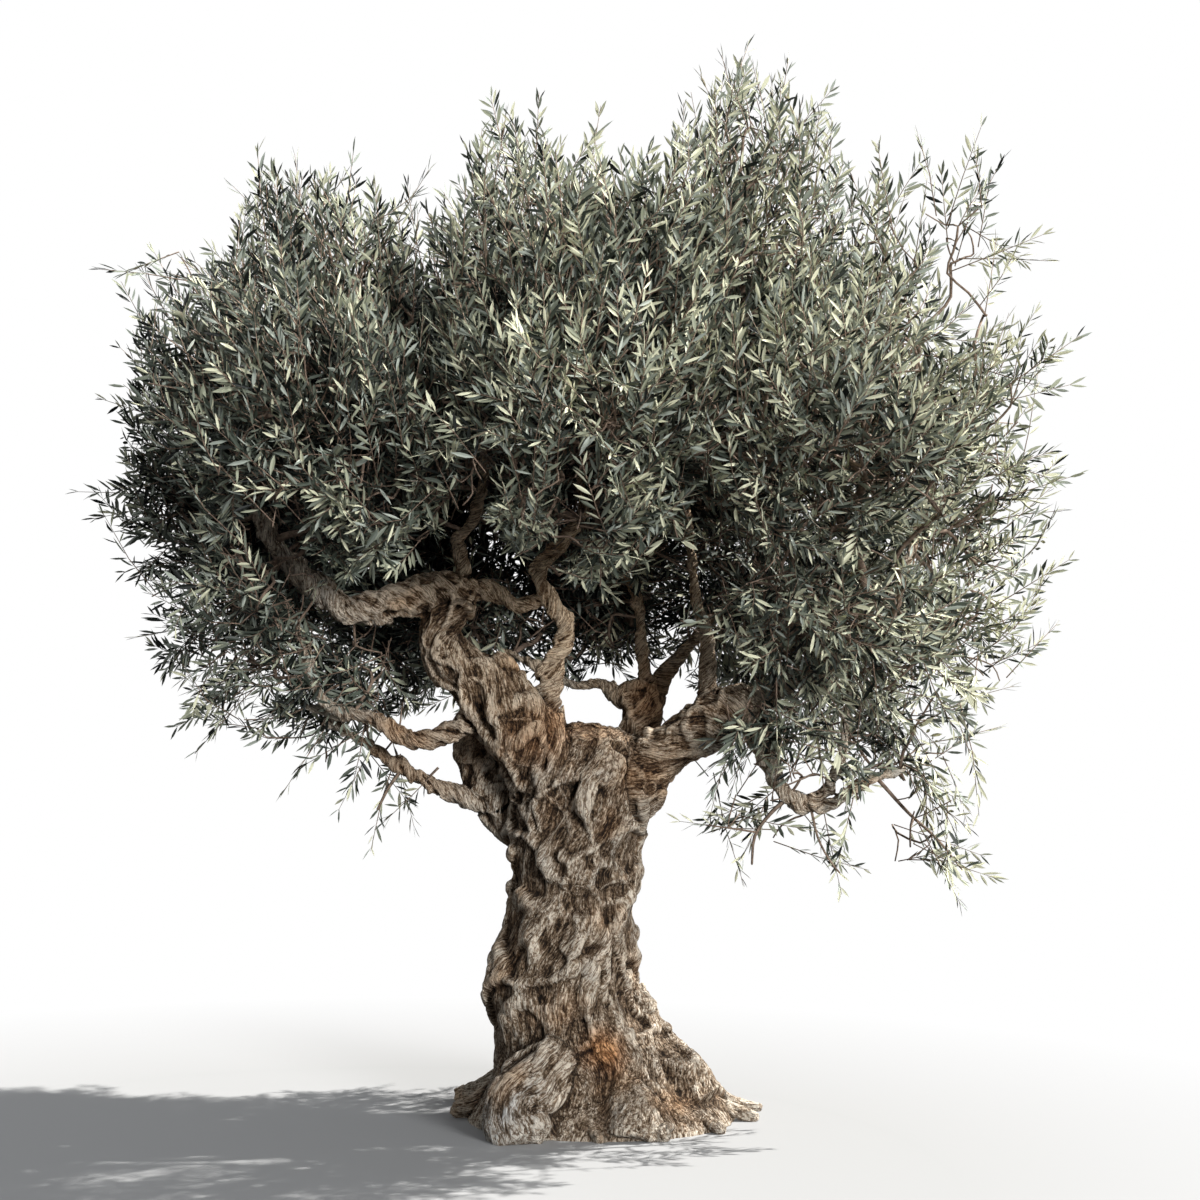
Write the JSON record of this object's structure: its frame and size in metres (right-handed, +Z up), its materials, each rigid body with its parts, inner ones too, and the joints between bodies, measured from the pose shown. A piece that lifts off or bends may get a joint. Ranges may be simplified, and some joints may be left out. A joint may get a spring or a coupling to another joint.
{
  "type": "olive tree",
  "caption": "Old olive tree: gnarled flaring trunk, twisted tapering boughs and a broad domed crown of narrow grey-green leaves, cut flat at ground level.",
  "frame": {"origin": "on the flat cut at ground level, near the middle of the trunk's foot", "axes": "+Z up along the trunk, +X to the side where the right bough reaches out, +Y towards the back of the crown, so -Y is the front"},
  "size_m": [3.7901, 2.779, 3.9708],
  "materials": {
    "bark": "deeply furrowed, twisted grey-brown bark, matt",
    "foliage": "narrow leathery leaves, grey-green above and silvery beneath, satin"
  },
  "bodies": {
    "root": {"trunk": "bark", "arm_bridge": "bark", "arm_spur": "bark", "back_branch": "bark", "back_diagonal": "bark", "back_knob": "bark", "back_riser": "bark", "foliage_back_centre": "foliage", "foliage_back_left": "foliage", "foliage_back_low_centre": "foliage", "foliage_back_low_left": "foliage", "foliage_back_low_right": "foliage", "foliage_back_right": "foliage", "foliage_centre_top": "foliage", "foliage_core": "foliage", "foliage_crown_top": "foliage", "foliage_front_centre": "foliage", "foliage_front_high": "foliage", "foliage_front_left": "foliage", "foliage_front_left_low": "foliage", "foliage_front_right": "foliage", "foliage_front_right_low": "foliage", "foliage_inner_tips": "foliage", "foliage_left_corner": "foliage", "foliage_left_dome": "foliage", "foliage_left_far": "foliage", "foliage_left_low": "foliage", "foliage_left_skirt": "foliage", "foliage_left_tips": "foliage", "foliage_right_far": "foliage", "foliage_right_low": "foliage", "foliage_right_shoulder": "foliage", "foliage_right_skirt": "foliage", "foliage_right_tips": "foliage", "foliage_right_upper": "foliage", "left_arm": "bark", "left_column": "bark", "left_leg": "bark", "left_riser": "bark", "low_left_bough": "bark", "middle_stem": "bark", "right_bough": "bark", "right_droop": "bark", "right_hook": "bark", "right_riser": "bark", "under_bough": "bark"}
  },
  "joints": []
}
